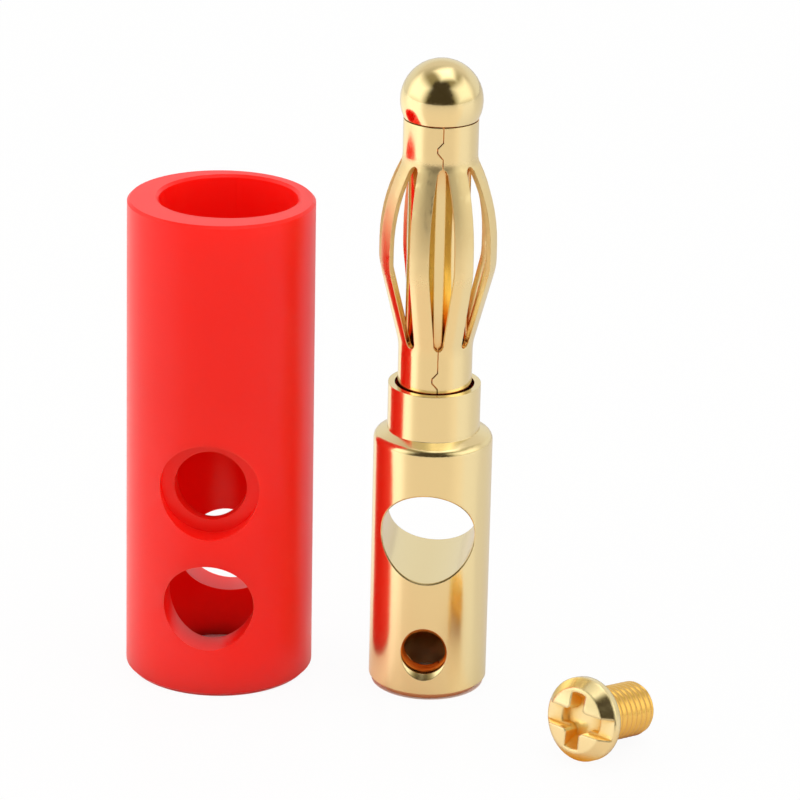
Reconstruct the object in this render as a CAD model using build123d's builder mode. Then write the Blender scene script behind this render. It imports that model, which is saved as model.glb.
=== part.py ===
from build123d import *
import math
import os

# A 4 mm banana plug taken apart: the turned plug stands on its rear face, the moulded sleeve stands
# beside it on its front end, and the clamp screw lies in front. Millimetres, +Z up, origin at the
# centre of the plug's rear face, with the clamp screw's hole facing -Y.

# Barrel: the wire end of the plug, turned from bar
barrel_d = 5.25
barrel_edge = 0.3
shoulder_z = 11.76
shoulder_drop = 0.28
shoulder_edge = 0.35
collar_d = 4.07
collar_height = 2.11
collar_edge = 0.2

# Holes that have to line up when the sleeve is on the barrel
cross_hole_d = 4.1
cross_hole_edge = 0.06
cross_hole_z = 7.67
hole_pitch = 5.45
thread_minor_d = 2.05
countersink_d = 2.5

# Wire bore in the rear face, drilled blind below the cross hole
wire_bore_d = 3.0
wire_bore_depth = 4.2
drill_point = 118.0

# Spring cage: rolled sheet with a lantern of bowed slats between two end rings
slat_count = 8
sheet = 0.225
ring_d = 3.25
bulge_d = 5.19
slat_w = 0.9
bottom_ring_h = 2.55
top_ring_h = 1.57
low_lean = 14.8
low_flare_r = 2.15
low_bulge_r = 2.4
crown = 0.63
high_lean = 27.5
high_flare_r = 1.0

# The cage's seam, with a hooked jog in each ring
seam_turn = 8.4
seam_gap = 0.05
hook_side = 0.24
hook_height = 0.75
hook_flat = 0.2

# Contact pin: ball head and core, its tail pressed into the barrel
cup_depth = 1.0
cage_run = 0.05
cup_run = 0.125
head_d = 3.58
head_face_d = 3.24
tail_d = 1.9
tail_length = 2.6
tail_hole_spare = 0.15

# Insulating sleeve: a straight seat for the barrel, then a wider bore that runs off the axis, so that
# the wall round the rear mouth is uneven
sleeve_length = 21.93
sleeve_front_d = 8.38
sleeve_rear_d = 8.22
sleeve_fit = 0.17
seat_spare = 0.6
# shares of the wall at the rear face: what the mouth takes of it all round, and how far it sits off the axis
mouth_cut = 0.242857
mouth_lean = (0.192857, 0.221429)
sleeve_cross_d = 4.0
sleeve_cross_z = 4.26
driver_hole_d = 3.2
counterbore_d = 4.4
counterbore_depth = 1.0
front_edge = 0.2
rear_edge = 0.12

# Clamp screw, M2.5 with a bevelled head and flat dome, cross recess and driver slot
screw_d = 2.4
screw_length = 3.6
screw_tip = 0.3
screw_head_d = 3.67
screw_head_h = 0.9
head_side = 0.32
dome_d = 2.84
dome_rise = 0.09
recess_w = 0.7
recess_span = 2.6
recess_core_d = 1.3
recess_depth = 0.85
recess_wall = 26.5
driver_slot_w = 0.9
driver_slot_depth = 0.54

# Where the loose pieces stand and lie, seen from the plug
sleeve_place = (-9.52, 0.63)
screw_place = (7.44, -7.37)
screw_heading = 43.4
screw_roll = 8.0

# Worked-out sizes that several pieces share
barrel_r = barrel_d / 2
collar_base_z = shoulder_z + shoulder_drop
collar_z = collar_base_z + collar_height
cup_floor_z = collar_z - cup_depth
screw_hole_z = cross_hole_z - hole_pitch
ring_r = ring_d / 2
ring_bore_r = ring_r - sheet
cage_z = cup_floor_z + cage_run
core_r = ring_bore_r - cage_run
flare_low_z = cage_z + bottom_ring_h

# The slats' bow going up: flare, straight flank and a bend to the upright crown, then one long arc
# that comes back in to the top flare
middle_r = ring_r - sheet / 2
bow = (bulge_d - ring_d) / 2
low_turn = math.radians(low_lean)
high_turn = math.radians(high_lean)
flank = (bow - (low_flare_r + low_bulge_r) * (1 - math.cos(low_turn))) / math.sin(low_turn)
high_bulge_r = bow / (1 - math.cos(high_turn)) - high_flare_r
low_rise = (low_flare_r + low_bulge_r) * math.sin(low_turn) + flank * math.cos(low_turn)
high_rise = (high_flare_r + high_bulge_r) * math.sin(high_turn)
flare_high_z = flare_low_z + low_rise + crown + high_rise
slot_low_z = flare_low_z + low_flare_r * math.sin(low_turn)
slot_high_z = flare_high_z - high_flare_r * math.sin(high_turn)
cage_top_z = flare_high_z + top_ring_h
head_face_z = cage_top_z + cage_run
pitch_angle = 360 / slat_count
slat_angle = math.degrees(slat_w / ring_r)
slot_half_angle = math.radians(pitch_angle - slat_angle) / 2


# Barrel, turned, bored from both ends and cross drilled
with BuildPart() as barrel:
    with BuildSketch(Plane.XZ) as outline:
        with BuildLine():
            Polyline(
                (0, 0),
                (barrel_r, 0),
                (barrel_r, shoulder_z),
                (collar_d / 2, collar_base_z),
                (collar_d / 2, collar_z),
                (0, collar_z),
                close=True,
            )
        make_face()
        _, collar_corners, barrel_corners = outline.vertices().group_by(Axis.X)
        chamfer(barrel_corners.sort_by(Axis.Y)[0], barrel_edge)
        fillet(barrel_corners.sort_by(Axis.Y)[-1], shoulder_edge)
        fillet(collar_corners.sort_by(Axis.Y)[-1], collar_edge)
    revolve(axis=Axis.Z)
    # cup for the spring cage, and the blind hole for the pin's tail
    with Locations((0, 0, collar_z)):
        Hole(ring_r + cup_run, depth=cup_depth)
    with Locations((0, 0, cup_floor_z)):
        Hole(tail_d / 2, depth=tail_length + tail_hole_spare)
    # wire bore in the rear face, with the cone that the drill leaves
    point_h = wire_bore_d / 2 / math.tan(math.radians(drill_point / 2))
    with BuildSketch(Plane.XZ):
        with BuildLine():
            Polyline(
                (0, 0),
                (wire_bore_d / 2, 0),
                (wire_bore_d / 2, wire_bore_depth),
                (0, wire_bore_depth + point_h),
                close=True,
            )
        make_face()
    revolve(axis=Axis.Z, mode=Mode.SUBTRACT)
    # cross hole right through, and the tapped hole into the wire bore with its countersunk mouth
    with BuildSketch(Plane.XZ.offset(barrel_r)):
        with Locations((0, cross_hole_z)):
            Circle(cross_hole_d / 2)
    extrude(amount=-barrel_d, mode=Mode.SUBTRACT)
    hole_rims = barrel.edges().filter_by(GeomType.BSPLINE)
    chamfer(hole_rims, cross_hole_edge)
    with Locations(Plane((0, -barrel_r, screw_hole_z), x_dir=(1, 0, 0), z_dir=(0, -1, 0))):
        CounterSinkHole(thread_minor_d / 2, countersink_d / 2, depth=barrel_r, counter_sink_angle=90)
barrel.part.label = "barrel"


# Contact pin: ball head, core that carries the cage, and the tail in the barrel
head_r = head_d / 2
head_low = math.sqrt(head_r**2 - (head_face_d / 2) ** 2)
head_centre_z = head_face_z + head_low
cheek = math.radians(45) - math.atan2(head_low, head_face_d / 2) / 2
with BuildPart() as contact_pin:
    with BuildSketch(Plane.XZ):
        with BuildLine():
            Polyline(
                (0, head_centre_z + head_r),
                (0, cup_floor_z - tail_length),
                (tail_d / 2, cup_floor_z - tail_length),
                (tail_d / 2, cup_floor_z),
                (core_r, cup_floor_z),
                (core_r, head_face_z),
                (head_face_d / 2, head_face_z),
            )
            ThreePointArc(
                (head_face_d / 2, head_face_z),
                (head_r * math.cos(cheek), head_centre_z + head_r * math.sin(cheek)),
                (0, head_centre_z + head_r),
            )
        make_face()
    revolve(axis=Axis.Z)
contact_pin.part.label = "contact_pin"


# One slat: the strip keeps the ring's curve across its width and bows outwards along its length. Its
# flared ends take up the whole pitch, so that they meet their neighbours below and above the slots.
slat_side = ring_r * 2 * math.tan(math.radians(slat_angle / 2))
pitch_side = ring_r * 2 * math.tan(math.radians(pitch_angle / 2))
with BuildPart() as slat:
    point = Vector(middle_r, 0, flare_low_z)
    bow_lean = 0
    for size, turn, is_flare in (
        (low_flare_r, low_turn, True),
        (flank, 0, False),
        (low_bulge_r, -low_turn, False),
        (crown, 0, False),
        (high_bulge_r, -high_turn, False),
        (high_flare_r, high_turn, True),
    ):
        outward = Vector(math.cos(bow_lean), 0, -math.sin(bow_lean))
        along = Vector(math.sin(bow_lean), 0, math.cos(bow_lean))
        with BuildSketch(Plane(point - outward * middle_r, x_dir=outward, z_dir=along)):
            Circle(ring_r)
            Circle(ring_bore_r, mode=Mode.SUBTRACT)
            if not is_flare:
                with BuildLine():
                    Polyline((0, 0), (ring_r * 2, slat_side), (ring_r * 2, -slat_side), close=True)
                make_face(mode=Mode.INTERSECT)
        if turn == 0:
            extrude(amount=size)
            point = point + along * size
        else:
            way = math.copysign(size, turn)
            centre = point + outward * way
            bow_lean = bow_lean + turn
            revolve(axis=Axis(centre, (0, way, 0)), revolution_arc=math.degrees(abs(turn)))
            point = centre - Vector(math.cos(bow_lean), 0, -math.sin(bow_lean)) * way
    with BuildSketch(Plane.XY.offset(flare_low_z)):
        with BuildLine():
            Polyline((0, 0), (ring_r * 2, pitch_side), (ring_r * 2, -pitch_side), close=True)
        make_face()
    extrude(amount=flare_high_z - flare_low_z, mode=Mode.INTERSECT)


def seam_jog(middle_z, turn):
    """A ribbon as thick as the seam's gap, with the hook's jog halfway up a ring."""
    across = Vector(0, 1, 0).rotate(Axis.Z, turn)
    outward = Vector(1, 0, 0).rotate(Axis.Z, turn)
    face = Plane(outward * (ring_bore_r - sheet), x_dir=across, z_dir=outward)
    reach = bottom_ring_h
    with BuildPart(mode=Mode.PRIVATE) as ribbon:
        with BuildSketch(face):
            with BuildLine():
                Polyline(
                    (0, middle_z - reach),
                    (0, middle_z - hook_height / 2),
                    (-hook_side, middle_z - hook_flat / 2),
                    (-hook_side, middle_z + hook_flat / 2),
                    (0, middle_z + hook_height / 2),
                    (0, middle_z + reach),
                )
            trace(line_width=seam_gap)
        extrude(amount=sheet * 3)
    return ribbon.part


# Spring cage: two end rings joined by the slats, split by one hooked seam
with BuildPart() as spring_cage:
    for ring_z, ring_h in ((cage_z, bottom_ring_h), (flare_high_z, top_ring_h)):
        with BuildSketch(Plane.XY.offset(ring_z)):
            Circle(ring_r)
            Circle(ring_bore_r, mode=Mode.SUBTRACT)
        extrude(amount=ring_h)
    slot_turn = seam_turn - 90
    with PolarLocations(0, slat_count, start_angle=slot_turn + pitch_angle / 2):
        add(slat.part)
    # the slots' round ends, cut on rays from the axis
    with PolarLocations(0, slat_count, start_angle=slot_turn):
        for end_z in (slot_low_z, slot_high_z):
            with Locations(Location((ring_r, 0, end_z), (0, 90, 0))):
                Cone(0, ring_r * 2 * math.tan(slot_half_angle), ring_r * 2, mode=Mode.SUBTRACT)
    for low_z, high_z in ((cage_z, slot_low_z), (slot_high_z, cage_top_z)):
        add(seam_jog((low_z + high_z) / 2, slot_turn), mode=Mode.SUBTRACT)
spring_cage.part.label = "spring_cage"


# Insulating sleeve, standing on its front end
sleeve_axis = Axis((*sleeve_place, 0), (0, 0, 1))
sleeve_section = Plane((*sleeve_place, 0), x_dir=(1, 0, 0), z_dir=(0, -1, 0))
front_r = sleeve_front_d / 2
seat_r = (barrel_d + sleeve_fit) / 2
seat_h = shoulder_z + seat_spare
with BuildPart() as insulating_sleeve:
    with BuildSketch(sleeve_section):
        with BuildLine():
            Polyline(
                (seat_r, 0),
                (front_r, 0),
                (sleeve_rear_d / 2, sleeve_length),
                (seat_r, sleeve_length),
                close=True,
            )
        make_face()
    revolve(axis=sleeve_axis)
    rims = insulating_sleeve.edges().filter_by(GeomType.CIRCLE).group_by(Axis.Z)
    chamfer(rims[0].sort_by(SortBy.RADIUS)[-1], front_edge)
    chamfer(rims[-1].sort_by(SortBy.RADIUS)[-1], rear_edge)
    # the bore above the seat leans over towards the mouth
    seat_top = Vector(*sleeve_place, seat_h)
    rear_wall = sleeve_rear_d / 2 - seat_r
    mouth = Vector(*sleeve_place, sleeve_length) + Vector(*mouth_lean, 0) * rear_wall
    with BuildSketch(Plane(seat_top, z_dir=mouth - seat_top)):
        Circle(seat_r + mouth_cut * rear_wall)
    extrude(amount=sleeve_length, mode=Mode.SUBTRACT)
    mouth_rim = insulating_sleeve.edges().group_by(Axis.Z)[-1].sort_by(SortBy.LENGTH)[0]
    chamfer(mouth_rim, rear_edge)
    # cross hole through both walls, and above it the driver's hole with its counterbore
    with BuildSketch(sleeve_section.offset(front_r)):
        with Locations((0, sleeve_cross_z)):
            Circle(sleeve_cross_d / 2)
    extrude(amount=-sleeve_front_d, mode=Mode.SUBTRACT)
    driver_z = sleeve_cross_z + hole_pitch
    slope = (sleeve_front_d - sleeve_rear_d) / 2 / sleeve_length
    driver_mouth = sleeve_section.offset(front_r - slope * driver_z)
    with BuildSketch(driver_mouth):
        with Locations((0, driver_z)):
            Circle(driver_hole_d / 2)
    extrude(amount=-front_r, mode=Mode.SUBTRACT)
    with BuildSketch(driver_mouth.offset(-counterbore_depth)):
        with Locations((0, driver_z)):
            Circle(counterbore_d / 2)
    extrude(amount=counterbore_depth * 2, mode=Mode.SUBTRACT)
insulating_sleeve.part.label = "insulating_sleeve"


# Clamp screw, lying on its head's rim and its tip: the plane's +Z runs out through the head
head_rim_r = screw_head_d / 2
screw_r = screw_d / 2
tilt = math.atan2(head_rim_r - screw_r, screw_length - screw_tip)
heading = math.radians(screw_heading)
screw_up = Vector(
    -math.sin(heading) * math.cos(tilt),
    -math.cos(heading) * math.cos(tilt),
    math.sin(tilt),
)
level = Vector(math.cos(heading), -math.sin(heading), 0)
seat = Plane((*screw_place, head_rim_r * math.cos(tilt)), x_dir=level, z_dir=screw_up)
screw_frame = seat.rotated((0, 0, screw_roll))
screw_section = Plane(screw_frame.origin, x_dir=screw_frame.x_dir, z_dir=-screw_frame.y_dir)
screw_axis = Axis(screw_frame.origin, screw_frame.z_dir)

with BuildPart() as cross_recess:
    with BuildSketch(screw_frame.offset(screw_head_h)):
        Rectangle(recess_span, recess_w)
        Rectangle(recess_w, recess_span)
        Circle(recess_core_d / 2)
    extrude(amount=-recess_depth)
    foot_r = recess_span / 2 - recess_depth * math.tan(math.radians(recess_wall))
    with BuildSketch(screw_section):
        with BuildLine():
            Polyline(
                (0, screw_head_h - recess_depth),
                (foot_r, screw_head_h - recess_depth),
                (recess_span / 2, screw_head_h),
                (0, screw_head_h),
                close=True,
            )
        make_face()
    revolve(axis=screw_axis, mode=Mode.INTERSECT)

with BuildPart() as clamp_screw:
    with BuildSketch(screw_section):
        with BuildLine():
            Polyline(
                (0, screw_head_h),
                (0, -screw_length),
                (screw_r - screw_tip, -screw_length),
                (screw_r, screw_tip - screw_length),
                (screw_r, 0),
                (head_rim_r, 0),
                (head_rim_r, head_side),
                (dome_d / 2, screw_head_h - dome_rise),
            )
            TangentArc((0, screw_head_h), (dome_d / 2, screw_head_h - dome_rise), tangent=(1, 0))
        make_face()
    revolve(axis=screw_axis)
    with BuildSketch(screw_frame.offset(screw_head_h)):
        Rectangle(screw_head_d, driver_slot_w)
    extrude(amount=-driver_slot_depth, mode=Mode.SUBTRACT)
    add(cross_recess.part, mode=Mode.SUBTRACT)
clamp_screw.part.label = "clamp_screw"


os.makedirs("parts", exist_ok=True)
export_step(barrel.part, "parts/barrel.step")
export_step(contact_pin.part, "parts/contact_pin.step")
export_step(spring_cage.part, "parts/spring_cage.step")
export_step(insulating_sleeve.part, "parts/insulating_sleeve.step")
export_step(clamp_screw.part, "parts/clamp_screw.step")
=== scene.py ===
import math

import bmesh
import bpy
from mathutils import Matrix, Vector


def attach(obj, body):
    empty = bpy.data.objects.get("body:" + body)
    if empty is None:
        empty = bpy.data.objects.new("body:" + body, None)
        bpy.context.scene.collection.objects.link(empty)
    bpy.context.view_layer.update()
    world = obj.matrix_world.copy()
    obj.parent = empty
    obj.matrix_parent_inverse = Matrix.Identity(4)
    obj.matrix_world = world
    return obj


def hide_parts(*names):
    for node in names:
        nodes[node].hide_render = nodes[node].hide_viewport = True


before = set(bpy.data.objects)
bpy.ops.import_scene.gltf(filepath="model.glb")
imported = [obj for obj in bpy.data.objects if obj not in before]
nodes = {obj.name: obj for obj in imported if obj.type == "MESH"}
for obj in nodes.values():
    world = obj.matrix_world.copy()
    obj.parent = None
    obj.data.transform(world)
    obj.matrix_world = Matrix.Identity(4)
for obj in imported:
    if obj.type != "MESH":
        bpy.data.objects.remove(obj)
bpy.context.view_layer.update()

# Lengths below are in millimetres unless they say otherwise
MM = 0.001

# The clamp screw as it lies in the frame, on its head's rim and its tip. The heading is in degrees
SCREW_PLACE = (7.44, -7.37)
SCREW_HEADING = 35.4
SCREW_HEAD_R = 1.835
SCREW_R = 1.2
SCREW_LENGTH = 3.6
SCREW_TIP = 0.3

# What is above this height in the screw's own frame is its head
HEAD_FROM = -0.5

# The rolled thread: round roots this deep, which fade out under the head
THREAD_PITCH = 0.35
THREAD_DEPTH = 0.055
THREAD_RUNOUT = 0.3
THREAD_ROOT_SHAPE = 0.8

# The tapped hole in the barrel, from under its countersunk mouth to the wire bore. Half its ridge's
# foot is given as a share of the pitch
TAPPED_Z = 2.22
TAPPED_R = 1.03
TAPPED_CREST = 0.1
TAPPED_HALF_FOOT = 0.42
TAPPED_MOUTH_Y = -2.36
TAPPED_END_Y = -1.36

# From this angle in degrees an edge is shaded as sharp, and points closer than this are one
SHARP_EDGE = 40
WELD = 0.0005

# Heights on the cage: its slats are worn from the first on, all over from the second to the third,
# and no more at the last
SLAT_WEAR = (18.5, 21.5, 24.1, 24.8)

# Where the plug and the sleeve stand, and how far they reach from there
FOOTPRINTS = (((0, 0), 2.5), ((-9.52, 0.63), 4.0))

# How far the table reaches from its middle, in metres
TABLE_REACH = 3.0

# The table's painted light and shade as metal mirrors it, paler towards the left softbox and darker
# in front, to the right and behind, by the way it lies from the plug: degrees from the camera's side,
# left first
TABLE_PAINTED_LIGHT = (
    (-180, "#CCC8C9"),
    (-130, "#FFFDF8"),
    (-62, "#FFFDF8"),
    (-43, "#DED1C3"),
    (54, "#DED1C3"),
    (72, "#D9D5D3"),
    (130, "#D2CFD0"),
    (180, "#CCC8C9"),
)

# The softboxes' distance and the height that they face, in metres
LAMP_DISTANCE = 0.5
LAMP_AIM = 0.012

# The photograph's camera: lens and sensor in millimetres, place in metres, and in degrees its swing
# to the left, how far it looks down, and its roll
CAMERA_LENS = 180
CAMERA_SENSOR = 36
CAMERA_PLACE = (0.01163, -0.16390, 0.07488)
CAMERA_SWING = 4.58
CAMERA_DOWN = 20.56
CAMERA_ROLL = 1.3


def linear(hex_colour):
    """An sRGB hex value as linear RGBA."""
    parts = [int(hex_colour[i : i + 2], 16) / 255 for i in (1, 3, 5)]
    return [c / 12.92 if c <= 0.04045 else ((c + 0.055) / 1.055) ** 2.4 for c in parts] + [1.0]


def add(tree, kind, settings=None, **links):
    """A node of that kind. Settings are properties, or inputs where the key is a number or an
    input's name. Links name an input, with underscores for spaces, or its number after in_, and
    give the output that feeds it. A MapRange node's inputs 1 and 2 are the range that it reads, 3
    and 4 the range that it gives."""
    made = tree.nodes.new("ShaderNode" + kind)
    for key, value in (settings or {}).items():
        if isinstance(key, str) and hasattr(made, key):
            setattr(made, key, value)
        else:
            made.inputs[key].default_value = value
    for key, output in links.items():
        name = key.replace("_", " ")
        tree.links.new(output, made.inputs[int(name[3:]) if name.startswith("in ") else name])
    return made


def new_material(name):
    """An empty node material, with its tree and its output node."""
    material = bpy.data.materials.new(name)
    material.use_nodes = True
    tree = material.node_tree
    tree.nodes.clear()
    output = add(tree, "OutputMaterial")
    return material, tree, output


def gold_plating(
    name, pale, painted_bounce_orange, gloss, wave_mm, wave_height, reach=0.8, hollow=(0.12, 0.62), edge=0.05
):
    """Gold electroplated over brass. It mirrors the room in pale yellow, a little uneven where the
    brass under it waves. Its colour holds painted bounce light: in hollows it is painted a richer
    orange, for the light that bounces from gold to gold. Its edges are slightly rounded and catch
    thin highlights. Gold within reach counts as near, hollow is the open share from all painted
    orange to all pale, and edge is the radius of the edges."""
    material, tree, output = new_material(name)
    where = add(tree, "TexCoord").outputs["Object"]
    open_share = add(tree, "AmbientOcclusion", {"samples": 6, "Distance": reach * MM}).outputs["AO"]
    # Painted bounce light: the colour turns from the pale gold to the painted orange where little of
    # the room is open to the surface
    colour = add(tree, "ValToRGB", Fac=open_share)
    for element, position, tone in zip(colour.color_ramp.elements, hollow, (painted_bounce_orange, pale)):
        element.position = position
        element.color = linear(tone)
    grain = add(tree, "TexNoise", {"Scale": 11 / MM, "Detail": 2.0}, Vector=where).outputs["Fac"]
    waves = add(tree, "TexNoise", {"Scale": 1 / (wave_mm * MM), "Detail": 1.0}, Vector=where)
    sheen = add(tree, "MapRange", {1: 0.3, 2: 0.7, 3: gloss, 4: gloss + 0.06}, in_0=grain)
    rounded = add(tree, "Bevel", {"samples": 6, "Radius": edge * MM}).outputs[0]
    wave_bump = add(
        tree, "Bump", {"Distance": wave_height * MM}, Height=waves.outputs["Fac"], Normal=rounded
    )
    skin = add(tree, "Bump", {"Distance": 0.0002 * MM}, Height=grain, Normal=wave_bump.outputs[0])
    shader = add(
        tree,
        "BsdfPrincipled",
        {"Metallic": 1.0},
        Base_Color=colour.outputs["Color"],
        Roughness=sheen.outputs[0],
        Normal=skin.outputs[0],
    )
    tree.links.new(shader.outputs[0], output.inputs["Surface"])
    return material


def worn_slats(material):
    """Adds the rubs and small knocks that the slats have picked up between their widest part and
    the top ring. They break the mirror image into dull flecks."""
    tree = material.node_tree
    shader = tree.nodes["Principled BSDF"]
    gloss = shader.inputs["Roughness"].links[0].from_socket
    smooth = shader.inputs["Normal"].links[0].from_socket
    where = add(tree, "TexCoord").outputs["Object"]
    up = add(tree, "SeparateXYZ", Vector=where).outputs["Z"]
    low, full, still_full, high = (height * MM for height in SLAT_WEAR)
    rise = add(tree, "MapRange", {1: low, 2: full, 3: 0.0, 4: 1.0}, in_0=up).outputs[0]
    stop = add(tree, "MapRange", {1: still_full, 2: high, 3: 1.0, 4: 0.0}, in_0=up).outputs[0]
    share = add(tree, "Math", {"operation": "MULTIPLY"}, in_0=rise, in_1=stop).outputs[0]
    drawn = add(tree, "Mapping", {"Scale": (1.0, 1.0, 0.4)}, Vector=where).outputs[0]
    flecks = add(tree, "TexNoise", {"Scale": 4.5 / MM, "Detail": 3.0}, Vector=drawn).outputs["Fac"]
    rubbed = add(tree, "MapRange", {1: 0.18, 2: 0.44, 3: 0.0, 4: 1.0}, in_0=flecks).outputs[0]
    worn = add(tree, "Math", {"operation": "MULTIPLY"}, in_0=rubbed, in_1=share).outputs[0]
    dull = add(tree, "Math", {"operation": "MULTIPLY_ADD", 1: 0.38}, in_0=worn, in_2=gloss).outputs[0]
    knocks = add(tree, "Bump", {"Distance": 0.0025 * MM}, Height=worn, Normal=smooth).outputs[0]
    tree.links.new(dull, shader.inputs["Roughness"])
    tree.links.new(knocks, shader.inputs["Normal"])


def punched_recess(material):
    """Adds what the punch leaves in the driver's recess: a rougher skin, which scatters the light
    from gold to gold. The recess's even orange comes partly from this and partly from the painted
    bounce light in the gold's colour."""
    tree = material.node_tree
    shader = tree.nodes["Principled BSDF"]
    gloss = shader.inputs["Roughness"].links[0].from_socket
    open_share = tree.nodes["Ambient Occlusion"].outputs["AO"]
    rough = add(tree, "MapRange", {1: 0.4, 2: 0.85, 3: 0.55, 4: 0.0}, in_0=open_share).outputs[0]
    both = add(tree, "Math", {"operation": "ADD"}, in_0=gloss, in_1=rough).outputs[0]
    tree.links.new(both, shader.inputs["Roughness"])


def red_plastic():
    """Injection-moulded red plastic: an even, slightly translucent red that stays bright inside the
    bores, with a satin gloss and a very slight waviness from the mould."""
    material, tree, output = new_material("moulded_red_plastic")
    where = add(tree, "TexCoord").outputs["Object"]
    flow = add(tree, "TexNoise", {"Scale": 0.2 / MM, "Detail": 2.0}, Vector=where)
    colour = add(tree, "ValToRGB", Fac=flow.outputs["Fac"])
    reds = ((0.3, "#FF180F"), (0.7, "#FF1E14"))
    for element, (position, tone) in zip(colour.color_ramp.elements, reds):
        element.position = position
        element.color = linear(tone)
    skin = add(tree, "TexNoise", {"Scale": 0.4 / MM, "Detail": 1.0}, Vector=where).outputs["Fac"]
    sheen = add(tree, "MapRange", {1: 0.2, 2: 0.8, 3: 0.285, 4: 0.32}, in_0=skin)
    bump = add(tree, "Bump", {"Distance": 0.004 * MM}, Height=skin)
    shader = add(
        tree,
        "BsdfPrincipled",
        {
            "IOR": 1.5,
            "Specular IOR Level": 0.34,
            "Subsurface Weight": 1.0,
            "Subsurface Radius": (1.0, 0.1, 0.08),
            "Subsurface Scale": 2.4 * MM,
        },
        Base_Color=colour.outputs["Color"],
        Roughness=sheen.outputs[0],
        Normal=bump.outputs[0],
    )
    tree.links.new(shader.outputs[0], output.inputs["Surface"])
    return material


def finish_node(name, material):
    """Gives a CAD node its better material."""
    for slot in nodes[name].material_slots:
        slot.material = material


def new_piece(name, mesh, material):
    """A smooth-shaded piece that rides with the plug."""
    mesh.materials.clear()
    mesh.materials.append(material)
    mesh.shade_smooth()
    mesh.set_sharp_from_angle(angle=math.radians(SHARP_EDGE))
    piece = bpy.data.objects.new(name, mesh)
    bpy.context.scene.collection.objects.link(piece)
    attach(piece, "plug")
    return piece


def screw_pose():
    """The screw's own frame in metres: its origin is under the head and +Z runs out through the
    head."""
    tilt = math.atan2(SCREW_HEAD_R - SCREW_R, SCREW_LENGTH - SCREW_TIP)
    heading = math.radians(SCREW_HEADING)
    level = Vector((math.cos(heading), -math.sin(heading), 0))
    forward = -math.cos(tilt)
    up = Vector((math.sin(heading) * forward, math.cos(heading) * forward, math.sin(tilt)))
    turn = Matrix((level, up.cross(level), up)).transposed().to_4x4()
    seat = Vector((*SCREW_PLACE, SCREW_HEAD_R * math.cos(tilt)))
    return Matrix.Translation(seat * MM) @ turn


def thread_radius(height, phase):
    """The rolled thread's radius at a height below the head: round roots, narrow crests, a
    chamfered tip."""
    wave = 0.5 - 0.5 * math.cos(2 * math.pi * phase)
    radius = SCREW_R - THREAD_DEPTH * (1 - wave**THREAD_ROOT_SHAPE)
    runout = min(max(1 + height / THREAD_RUNOUT, 0), 1)
    radius += (SCREW_R - radius) * runout
    tip = SCREW_R - SCREW_TIP + (height + SCREW_LENGTH)
    return min(radius, tip)


def screw_shank(around=72, per_turn=12):
    """Vertices and faces of the threaded shank in the screw's frame, laid out along the helix."""
    rows = int((SCREW_LENGTH / THREAD_PITCH + 2) * per_turn)
    vertices = []
    for row in range(rows):
        for step in range(around):
            turn = step / around
            height = (row / per_turn - 1 + turn) * THREAD_PITCH - SCREW_LENGTH
            height = min(max(height, -SCREW_LENGTH), 0)
            radius = thread_radius(height, row / per_turn)
            angle = 2 * math.pi * turn
            vertices.append(Vector((math.cos(angle) * radius, math.sin(angle) * radius, height)) * MM)
    faces = []
    for row in range(rows - 1):
        for step in range(around):
            corners = []
            for r, s in ((row, step), (row, step + 1), (row + 1, step + 1), (row + 1, step)):
                up = per_turn if s == around else 0
                corners.append((r + up, s % around))
            if all(r < rows for r, _ in corners):
                faces.append([r * around + s for r, s in corners])
    return vertices, faces


def clamp_screw(head_gold, thread_gold):
    """The clamp screw: the formed head as it is in the frame, on a shank with a rolled thread."""
    pose = screw_pose()
    to_screw = pose.inverted()
    shape = bmesh.new()
    shape.from_mesh(nodes["clamp_screw"].data)
    plain_shank = [v for v in shape.verts if (to_screw @ v.co).z < HEAD_FROM * MM]
    bmesh.ops.delete(shape, geom=plain_shank, context="VERTS")
    formed = bpy.data.meshes.new("formed_head")
    shape.to_mesh(formed)
    shape.clear()
    vertices, faces = screw_shank()
    rolled = bpy.data.meshes.new("rolled_shank")
    rolled.from_pydata([pose @ v for v in vertices], [], faces)
    shape.from_mesh(rolled)
    bmesh.ops.remove_doubles(shape, verts=shape.verts, dist=WELD * MM)
    bmesh.ops.holes_fill(shape, edges=shape.edges)
    bmesh.ops.recalc_face_normals(shape, faces=shape.faces)
    shape.to_mesh(rolled)
    shape.free()
    head = new_piece("clamp_screw_head", formed, head_gold)
    shank = new_piece("clamp_screw_shank", rolled, thread_gold)
    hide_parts("clamp_screw")
    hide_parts("clamp_screw")


def tapped_thread(material, around=48):
    """The thread cut in the barrel's clamp hole: a helical ridge with a crest and two flanks."""
    half_foot = THREAD_PITCH * TAPPED_HALF_FOOT
    section = ((0, 0), (half_foot, -TAPPED_CREST), (half_foot * 2, 0))
    turns = (TAPPED_END_Y - TAPPED_MOUTH_Y) / THREAD_PITCH - 1
    steps = int(turns * around)
    vertices = []
    for step in range(steps + 1):
        angle = 2 * math.pi * step / around
        start = TAPPED_MOUTH_Y + step / around * THREAD_PITCH
        for along, inwards in section:
            r = TAPPED_R + inwards
            across = math.cos(angle) * r
            vertices.append(Vector((across, start + along, TAPPED_Z + math.sin(angle) * r)) * MM)
    faces = [(0, 1, 2), (steps * 3 + 2, steps * 3 + 1, steps * 3)]
    for step in range(steps):
        for side in range(3):
            a = step * 3 + side
            b = step * 3 + (side + 1) % 3
            faces.append((a, a + 3, b + 3, b))
    mesh = bpy.data.meshes.new("cut_thread")
    mesh.from_pydata(vertices, [], faces)
    shape = bmesh.new()
    shape.from_mesh(mesh)
    bmesh.ops.recalc_face_normals(shape, faces=shape.faces)
    shape.to_mesh(mesh)
    shape.free()
    new_piece("clamp_hole_thread", mesh, material)


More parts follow.
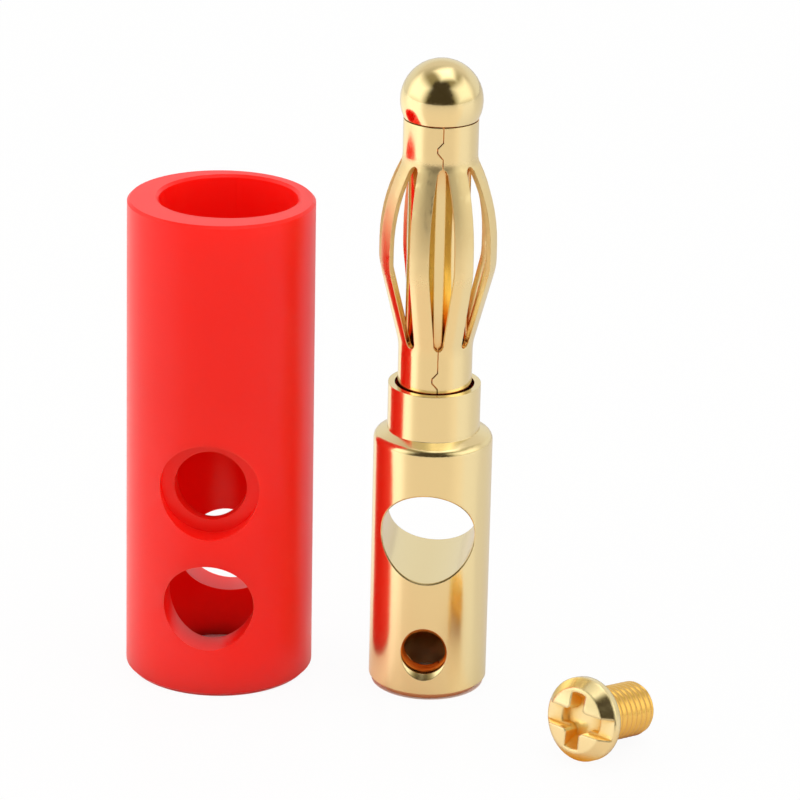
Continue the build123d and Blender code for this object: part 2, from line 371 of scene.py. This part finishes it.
def soft_light(name, azimuth, elevation, width, height, radiance):
    """A studio softbox, brightest in its middle and fading at its edges. Azimuth 0 is the camera's
    side, 90 the right. Width and height are in metres."""
    lamp = bpy.data.lights.new(name, "AREA")
    lamp.shape = "RECTANGLE"
    lamp.size = width
    lamp.size_y = height
    lamp.energy = radiance * math.pi * width * height
    lamp.use_nodes = True
    tree = lamp.node_tree
    tree.nodes.clear()
    on_box = add(tree, "NewGeometry").outputs["Parametric"]
    off_centre = add(tree, "VectorMath", {"operation": "SUBTRACT", 1: (0.5, 0.5, 0.0)}, in_0=on_box)
    side = add(tree, "VectorMath", {"operation": "ABSOLUTE"}, in_0=off_centre.outputs[0])
    split = add(tree, "SeparateXYZ", Vector=side.outputs[0]).outputs
    reach = add(tree, "Math", {"operation": "MAXIMUM"}, in_0=split["X"], in_1=split["Y"])
    fade = add(tree, "MapRange", {1: 0.5, 2: 0.1, 3: 0.0, 4: 1.0}, in_0=reach.outputs[0])
    fade.interpolation_type = "SMOOTHSTEP"
    glow = add(tree, "Emission", Strength=fade.outputs[0])
    output = add(tree, "OutputLight")
    tree.links.new(glow.outputs[0], output.inputs["Surface"])
    made = bpy.data.objects.new(name, lamp)
    bpy.context.scene.collection.objects.link(made)
    a = math.radians(azimuth)
    e = math.radians(elevation)
    away = Vector((math.sin(a) * math.cos(e), -math.cos(a) * math.cos(e), math.sin(e)))
    made.location = Vector((0, 0, LAMP_AIM)) + away * LAMP_DISTANCE
    made.rotation_euler = away.to_track_quat("Z", "Y").to_euler()


def studio_floor():
    """A white acrylic table. To the eye it is plain white with a trace of the object's shadow, but
    lit as it is where it shows in the bores that stand on it. Metal mirrors it in painted light
    and shade: its colour for mirrored rays is painted paler towards the left softbox and darker
    in front, to the right and behind."""
    material, tree, output = new_material("white_acrylic_table")
    where = add(tree, "TexCoord").outputs["Object"]
    path = add(tree, "LightPath")
    share = add(tree, "Math", {"operation": "MULTIPLY", 1: 0.94}, in_0=path.outputs["Is Camera Ray"])
    for (x, y), reach in FOOTPRINTS:
        centre = (x * MM, y * MM, 0.0)
        gap = add(tree, "VectorMath", {"operation": "DISTANCE", 1: centre}, in_0=where).outputs
        past = add(tree, "Math", {"operation": "GREATER_THAN", 1: reach * MM}, in_0=gap["Value"])
        share = add(
            tree, "Math", {"operation": "MULTIPLY"}, in_0=share.outputs[0], in_1=past.outputs[0]
        )
    glow = add(tree, "Emission", {"Color": linear("#FFFFFF"), "Strength": 1.0})
    acrylic = {"Roughness": 0.3, "IOR": 1.49}
    lit = add(tree, "BsdfPrincipled", {"Base Color": linear("#EDEBE8"), **acrylic})
    spot = add(tree, "SeparateXYZ", Vector=where)
    near = add(tree, "Math", {"operation": "MULTIPLY", 1: -1.0}, in_0=spot.outputs["Y"])
    way = add(tree, "Math", {"operation": "ARCTAN2"}, in_0=spot.outputs["X"], in_1=near.outputs[0])
    round_share = add(tree, "MapRange", {1: -math.pi, 2: math.pi}, in_0=way.outputs[0])
    # Painted light and shade: the table's colour for mirrored rays, paler where the softboxes light
    # it and darker on the camera's side and behind
    tone = add(tree, "ValToRGB", Fac=round_share.outputs[0])
    tone.color_ramp.interpolation = "EASE"
    while len(tone.color_ramp.elements) < len(TABLE_PAINTED_LIGHT):
        tone.color_ramp.elements.new(0.5)
    for element, (degrees, colour) in zip(tone.color_ramp.elements, TABLE_PAINTED_LIGHT):
        element.position = 0.5 + degrees / 360
        element.color = linear(colour)
    painted_light_table = add(tree, "BsdfPrincipled", acrylic, Base_Color=tone.outputs["Color"])
    mirrored = path.outputs["Is Glossy Ray"]
    table = add(tree, "MixShader", Fac=mirrored, in_1=lit.outputs[0], in_2=painted_light_table.outputs[0])
    both = add(tree, "MixShader", Fac=share.outputs[0], in_1=table.outputs[0], in_2=glow.outputs[0])
    tree.links.new(both.outputs[0], output.inputs["Surface"])
    mesh = bpy.data.meshes.new("table_top")
    r = TABLE_REACH
    corners = [(-r, -r, 0), (r, -r, 0), (r, r, 0), (-r, r, 0)]
    mesh.from_pydata(corners, [], [(0, 1, 2, 3)])
    mesh.materials.append(material)
    floor = bpy.data.objects.new("table_top", mesh)
    bpy.context.scene.collection.objects.link(floor)


def studio_room():
    """The room that the gold mirrors: olive at its sides, a pale sweep behind, and the dark camera
    side with its broken outline in front. What is mirrored twice sees an even light, everything
    else is filled by a brighter one, and to the eye it is plain white."""
    world = bpy.data.worlds.new("studio_room")
    bpy.context.scene.world = world
    world.use_nodes = True
    tree = world.node_tree
    tree.nodes.clear()
    way = add(tree, "TexCoord").outputs["Generated"]
    axes = add(tree, "SeparateXYZ", Vector=way)
    back = add(tree, "MapRange", {1: -1.0, 2: 1.0}, in_0=axes.outputs["Y"])
    colour = add(tree, "ValToRGB", Fac=back.outputs[0])
    ramp = colour.color_ramp
    ramp.elements[0].position = 0.1
    ramp.elements[0].color = linear("#7E7656")
    ramp.elements[1].position = 0.8
    ramp.elements[1].color = linear("#DCD6D1")
    ramp.elements.new(0.5).color = linear("#968E74")
    near = add(tree, "Math", {"operation": "MULTIPLY", 1: -1.0}, in_0=axes.outputs["Y"]).outputs[0]
    ahead = add(tree, "Math", {"operation": "MAXIMUM", 1: 0.01}, in_0=near).outputs[0]
    aside = add(tree, "Math", {"operation": "ABSOLUTE"}, in_0=axes.outputs["X"]).outputs[0]
    straight = add(tree, "Math", {"operation": "DIVIDE"}, in_0=aside, in_1=ahead).outputs[0]
    clutter = add(tree, "TexNoise", {"Scale": 7.0, "Detail": 3.0}, Vector=way).outputs["Fac"]
    broken = add(tree, "Math", {"operation": "MULTIPLY_ADD", 1: 0.7}, in_0=clutter, in_2=straight)
    above = add(tree, "Math", {"operation": "DIVIDE"}, in_0=axes.outputs["Z"], in_1=ahead).outputs[0]
    inner = add(tree, "MapRange", {1: 1.25, 2: 1.0}, in_0=broken.outputs[0]).outputs[0]
    lower = add(tree, "MapRange", {1: 2.9, 2: 1.9}, in_0=above).outputs[0]
    dark = add(tree, "Math", {"operation": "MULTIPLY"}, in_0=inner, in_1=lower).outputs[0]
    walls = add(tree, "Background", {"Strength": 1.0}, Color=colour.outputs["Color"])
    behind = add(tree, "MapRange", {1: 0.2, 2: 0.6}, in_0=axes.outputs["Y"]).outputs[0]
    low = add(tree, "MapRange", {1: 0.6, 2: 0.4}, in_0=axes.outputs["Z"]).outputs[0]
    on_sweep = add(tree, "Math", {"operation": "MULTIPLY"}, in_0=behind, in_1=low).outputs[0]
    sweep = add(tree, "Background", {"Color": linear("#FFFFFF"), "Strength": 0.78})
    pale_room = add(tree, "MixShader", Fac=on_sweep, in_1=walls.outputs[0], in_2=sweep.outputs[0])
    camera_side = add(tree, "Background", {"Color": linear("#3C3424"), "Strength": 1.0})
    room = add(tree, "MixShader", Fac=dark, in_1=pale_room.outputs[0], in_2=camera_side.outputs[0])
    fill = add(tree, "Background", {"Color": linear("#FFFFFF"), "Strength": 0.88})
    white = add(tree, "Background", {"Color": linear("#FFFFFF"), "Strength": 1.0})
    path = add(tree, "LightPath").outputs
    twice = add(tree, "Math", {"operation": "GREATER_THAN", 1: 1.5}, in_0=path["Glossy Depth"])
    even = add(tree, "Background", {"Color": linear("#FFFFFF"), "Strength": 0.55})
    mirrored = add(
        tree, "MixShader", Fac=twice.outputs[0], in_1=room.outputs[0], in_2=even.outputs[0]
    )
    lit = add(
        tree, "MixShader", Fac=path["Is Glossy Ray"], in_1=fill.outputs[0], in_2=mirrored.outputs[0]
    )
    both = add(
        tree, "MixShader", Fac=path["Is Camera Ray"], in_1=lit.outputs[0], in_2=white.outputs[0]
    )
    output = add(tree, "OutputWorld")
    tree.links.new(both.outputs[0], output.inputs["Surface"])


def studio_camera():
    """The photograph's view: a long lens a little to the right, looking down at the loose
    pieces."""
    lens = bpy.data.cameras.new("camera")
    lens.lens = CAMERA_LENS
    lens.sensor_width = CAMERA_SENSOR
    camera = bpy.data.objects.new("camera", lens)
    bpy.context.scene.collection.objects.link(camera)
    swing = Matrix.Rotation(math.radians(CAMERA_SWING), 4, "Z")
    pitch = Matrix.Rotation(math.radians(90 - CAMERA_DOWN), 4, "X")
    roll = Matrix.Rotation(math.radians(CAMERA_ROLL), 4, "Z")
    place = Matrix.Translation(CAMERA_PLACE)
    camera.matrix_world = place @ swing @ pitch @ roll
    bpy.context.scene.camera = camera


# Each gold's second colour is painted bounce light: the orange that it is painted in its hollows
turned_gold = gold_plating(
    "gold_plated_turned_brass", "#FCE8B0", "#FF7A14", 0.15, 1.2, 0.004, reach=3.0, hollow=(0.08, 0.26)
)
polished_gold = gold_plating("gold_plated_polished_ball", "#FCE8B0", "#EC9A34", 0.09, 1.5, 0.002)
sheet_gold = gold_plating("gold_plated_rolled_sheet", "#FBE6AE", "#E59A34", 0.12, 0.8, 0.005)
formed_gold = gold_plating(
    "gold_plated_formed_screw", "#FFECB4", "#FFCB48", 0.14, 0.8, 0.002, hollow=(0.4, 0.85), edge=0.16
)
punched_recess(formed_gold)
rolled_gold = gold_plating("gold_plated_rolled_thread", "#FACA6A", "#D07018", 0.21, 0.5, 0.003)
# The cut thread is painted orange all over, in both its colours: painted bounce light for the light
# that goes round inside the hole
threaded_gold = gold_plating("gold_plated_tapped_thread", "#FF9038", "#F05808", 0.4, 0.5, 0.003)
worn_slats(sheet_gold)

finish_node("barrel", turned_gold)
finish_node("contact_pin", polished_gold)
finish_node("spring_cage", sheet_gold)
clamp_screw(formed_gold, rolled_gold)
tapped_thread(threaded_gold)
finish_node("insulating_sleeve", red_plastic())

studio_camera()
studio_floor()
studio_room()
soft_light("left_softbox", -78, 24, 0.9, 0.72, 1.1)
soft_light("right_softbox", 76, 25, 0.8, 0.68, 0.92)
soft_light("top_softbox", 116, 82, 0.52, 0.5, 1.25)

bpy.context.scene.view_settings.view_transform = "Standard"
